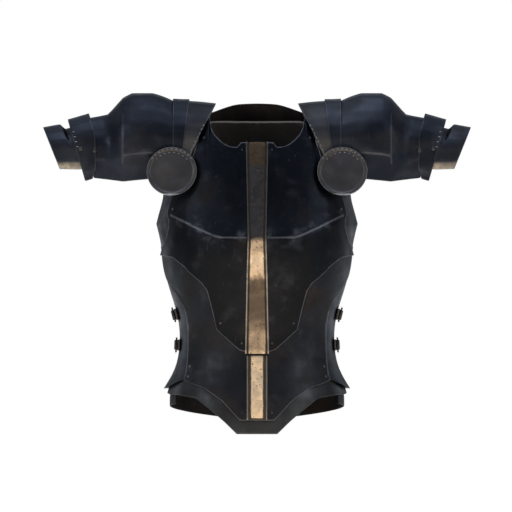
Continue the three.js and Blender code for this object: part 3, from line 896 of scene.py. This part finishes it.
armBodies = {"shoulder_strap": "cuirass", "shoulder_lame": "cuirass", "pauldron": "cuirass",
             "arm_band": "arm_band", "arm_cuff": "arm_cuff"}
armSlots = {"shoulder_strap": (strapSteel, "worn_steel"), "arm_cuff": (cuffSteel, "blued_steel")}
smallEdges = {"side_strap": 0.0006, "buckle": 0.0008, "rivet": 0.0003}      # wider bevels than a plate's
sideWords = {"r": "right", "l": "left"}
for side in sides:
    for family, body in armBodies.items():
        outside, slot = armSlots.get(family, (bluedSteel, "blued_steel"))
        carrier = body if body == "cuirass" else f"{body}_{sideWords[side]}"
        node = f"{family}_{side}"
        plates[node] = finishPlate(node, outside, shadedInside, slot, carrier, "arm", folds=shoulderFold)
    node = f"besagew_{side}"
    plates[node] = finishPlate(node, discSteel, None, "disc_steel", "cuirass")
    for height in ("upper", "lower"):
        node = f"side_strap_{height}_{side}"
        plates[node] = finishPlate(node, darkLeather, None, "dark_leather", "cuirass",
                                   edge=smallEdges["side_strap"])
        node = f"buckle_{height}_{side}"
        plates[node] = finishPlate(node, buckleSteel, None, "worn_steel", "cuirass", levels=1,
                                   edge=smallEdges["buckle"])
    for pivot in ("band", "cuff"):
        for end in ("front", "back"):
            node = f"{pivot}_rivet_{end}_{side}"
            carrier = nodes[node]["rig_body"]
            plates[node] = finishPlate(node, rivetSteel, None, "worn_steel", carrier, levels=1,
                                       edge=smallEdges["rivet"])
print("shoulder and arm plates finished")


# rivets, studs, stitches and buckle prongs: each modelled once, copied and joined plate by plate
def makeStud(name, s):
    bpy.ops.object.select_all(action="DESELECT")
    bpy.ops.mesh.primitive_uv_sphere_add(segments=s["sides"], ring_count=s["rings"], radius=s["radius"])
    stud = bpy.context.object
    stud.name = name
    bpy.ops.object.mode_set(mode="EDIT")
    bpy.ops.mesh.select_all(action="SELECT")
    bpy.ops.mesh.bisect(plane_co=(0, 0, 0), plane_no=(0, 0, 1), use_fill=True, clear_inner=True)
    bpy.ops.mesh.extrude_region_move(TRANSFORM_OT_translate={"value": (0, 0, -s["radius"])})
    bpy.ops.mesh.select_all(action="SELECT")
    bpy.ops.transform.resize(value=(s["long"], 1, s["rise"]), center_override=(0, 0, 0))
    bpy.ops.object.mode_set(mode="OBJECT")
    bpy.ops.object.shade_smooth_by_angle(angle=math.radians(50))
    return stud


def makeFold(name, s):
    bpy.ops.object.select_all(action="DESELECT")
    bpy.ops.mesh.primitive_cube_add(size=1)
    fold = bpy.context.object
    fold.name = name
    bpy.ops.object.mode_set(mode="EDIT")
    bpy.ops.mesh.select_all(action="SELECT")
    bpy.ops.transform.resize(value=s["size"], center_override=(0, 0, 0))
    bpy.ops.mesh.bevel(offset=s["round"], segments=3, affect="EDGES")
    bpy.ops.object.mode_set(mode="OBJECT")
    bpy.ops.object.shade_smooth_by_angle(angle=math.radians(40))
    return fold


def setStuds(name, stud, spots, finish, body="cuirass"):
    copies = []
    for place, normal, along in spots:
        makeActive(stud)
        bpy.ops.object.duplicate()
        side = normal.cross(along).normalized()
        turn = Matrix((side.cross(normal), side, normal)).transposed().to_4x4()
        bpy.context.object.matrix_world = Matrix.Translation(place) @ turn
        copies.append(bpy.context.object)
    makeActive(*copies)
    if len(copies) > 1:
        bpy.ops.object.join()
    bpy.ops.object.transform_apply(location=True, rotation=True, scale=True)
    piece = bpy.context.object
    piece.name = name
    piece.data.name = name
    piece.data.materials.clear()
    piece.data.materials.append(finish)
    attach(piece, body)


rivetHead = makeStud("rivet_head", {"sides": 16, "rings": 10, "radius": 0.0027, "long": 1, "rise": 0.6})
smallHead = makeStud("small_head", {"sides": 12, "rings": 8, "radius": 0.0017, "long": 1, "rise": 0.6})
ovalStud = makeStud("oval_stud", {"sides": 10, "rings": 6, "radius": 0.0010, "long": 2.4, "rise": 0.8})
stitch = makeStud("stitch", {"sides": 8, "rings": 6, "radius": 0.0005, "long": 3.2, "rise": 0.8})
prong = makeStud("prong", {"sides": 10, "rings": 8, "radius": 0.0013, "long": 5.2, "rise": 1})
fold = makeFold("fold", {"size": (0.011, 0.020, 0.008), "round": 0.0022})   # leather round the buckle's bar

frontRivets = {         # pixels of the photo, on the viewer's left
    "breastplate": {"rivet": [(204, 138), (173, 209), (220.5, 323), (242, 343)], "small": [(242, 150)]},
    "belly_plate": {"rivet": [(190, 366), (188.4, 376)], "small": [(242, 412)]},
}
backRivets = {          # x and z in metres, on one side
    "back_collar": [(0.030, -0.010), (0.048, -0.012)],
    "backplate": [(0.060, -0.520), (0.110, -0.520), (0.018, -0.520)],
}
for node, s in frontRivets.items():
    for size, stud in (("rivet", rivetHead), ("small", smallHead)):
        spots = [spot for side in sides for px, py in s[size]
                 for spot in fromFront(plates[node], mirror(side, px), py)]
        setStuds(f"{node}_{size}s", stud, spots, rivetSteel)
for node, places in backRivets.items():
    spots = [spot for sign in sides.values() for x, z in places
             for spot in cast(plates[node], (sign * x, 1, z), (0, -1, 0), (1, 0, 0))]
    setStuds(f"{node}_rivets", rivetHead, spots, rivetSteel)
print("rivets set")

# rows of oval studs, in pixels of the photo on the viewer's left
armholeRow = {"from": (203.6, 125.5), "to": (191.6, 150), "count": 7, "lean": (0.45, 0.9)}
bandRow = {"from": (73.9, 132), "to": (77.8, 147), "count": 4}
discRows = {
    "pixel": (172, 172),
    "squash": 0.966,
    "rows": [(23.9, 54, 11), (20.0, 48, 8)],        # radius in pixels, spread in degrees, count
}
strapTrim = {
    "stitches": 22,
    "stitchMargin": 0.004,
    "stitchRows": (-0.0085, 0.0085),
    "rivetMargin": 0.010,
    "rivetRows": (-0.005, 0.005),
    "foldLift": 0.0025,
    "prongShift": (0, -0.004, 0),
}


def rowSpots(plate, side, row, along=(1, 0, 0)):
    spots = []
    for k in range(row["count"]):
        share = k / (row["count"] - 1)
        px, py = (a + (b - a) * share for a, b in zip(row["from"], row["to"]))
        spots += fromFront(plate, mirror(side, px), py, along)
    return spots


def discSpots(plate, side):
    spots = []
    column, row = discRows["pixel"]
    for radius, spread, count in discRows["rows"]:
        for k in range(count):
            angle = math.radians(spread * (2 * k / (count - 1) - 1))
            px = column + radius * math.sin(angle)
            py = row - radius * discRows["squash"] * math.cos(angle)
            along = (-sides[side] * math.cos(angle), 0, -math.sin(angle))
            spots += fromFront(plate, mirror(side, px), py, along)
    return spots


def fromSide(plate, side, y, z):
    sign = sides[side]
    return cast(plate, (sign, y, z), (-sign, 0, 0), (0, 1, 0))


def trimStrap(height, side):
    s = strapTrim
    strap = plates[f"side_strap_{height}_{side}"]
    low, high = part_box(f"side_strap_{height}_{side}")
    middle = (low.z + high.z) / 2
    run = high.y - low.y - 2 * s["stitchMargin"]
    spots = []
    for k in range(s["stitches"]):
        y = low.y + s["stitchMargin"] + run * k / (s["stitches"] - 1)
        for offset in s["stitchRows"]:
            spots += fromSide(strap, side, y, middle + offset)
    setStuds(f"strap_stitches_{height}_{side}", stitch, spots, waxedThread)
    spots = [spot for offset in s["rivetRows"]
             for spot in fromSide(strap, side, high.y - s["rivetMargin"], middle + offset)]
    setStuds(f"strap_rivets_{height}_{side}", rivetHead, spots, rivetSteel)
    low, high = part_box(f"buckle_{height}_{side}")
    middle = (low + high) / 2
    spots = [(place + normal * s["foldLift"], normal, along)
             for place, normal, along in fromSide(strap, side, middle.y, middle.z)]
    setStuds(f"buckle_fold_{height}_{side}", fold, spots, darkLeather)
    spots = [(place + Vector(s["prongShift"]), normal, along)
             for place, normal, along in fromSide(plates[f"buckle_{height}_{side}"], side, middle.y, middle.z)]
    setStuds(f"buckle_prong_{height}_{side}", prong, spots, buckleSteel)


for side, sign in sides.items():
    across, up = armholeRow["lean"]
    spots = rowSpots(plates[f"shoulder_strap_{side}"], side, armholeRow, (-sign * across, 0, up))
    setStuds(f"armhole_studs_{side}", ovalStud, spots, glintStudSteel)
    spots = discSpots(plates[f"besagew_{side}"], side)
    setStuds(f"disc_studs_{side}", ovalStud, spots, glintStudSteel)
    spots = rowSpots(plates[f"arm_band_{side}"], side, bandRow)
    setStuds(f"band_studs_{side}", ovalStud, spots, glintStudSteel, f"arm_band_{sideWords[side]}")
    for height in ("upper", "lower"):
        trimStrap(height, side)
makeActive(rivetHead, smallHead, ovalStud, stitch, prong, fold)     # the masters go
bpy.ops.object.delete()
print("studs, stitches and prongs set")
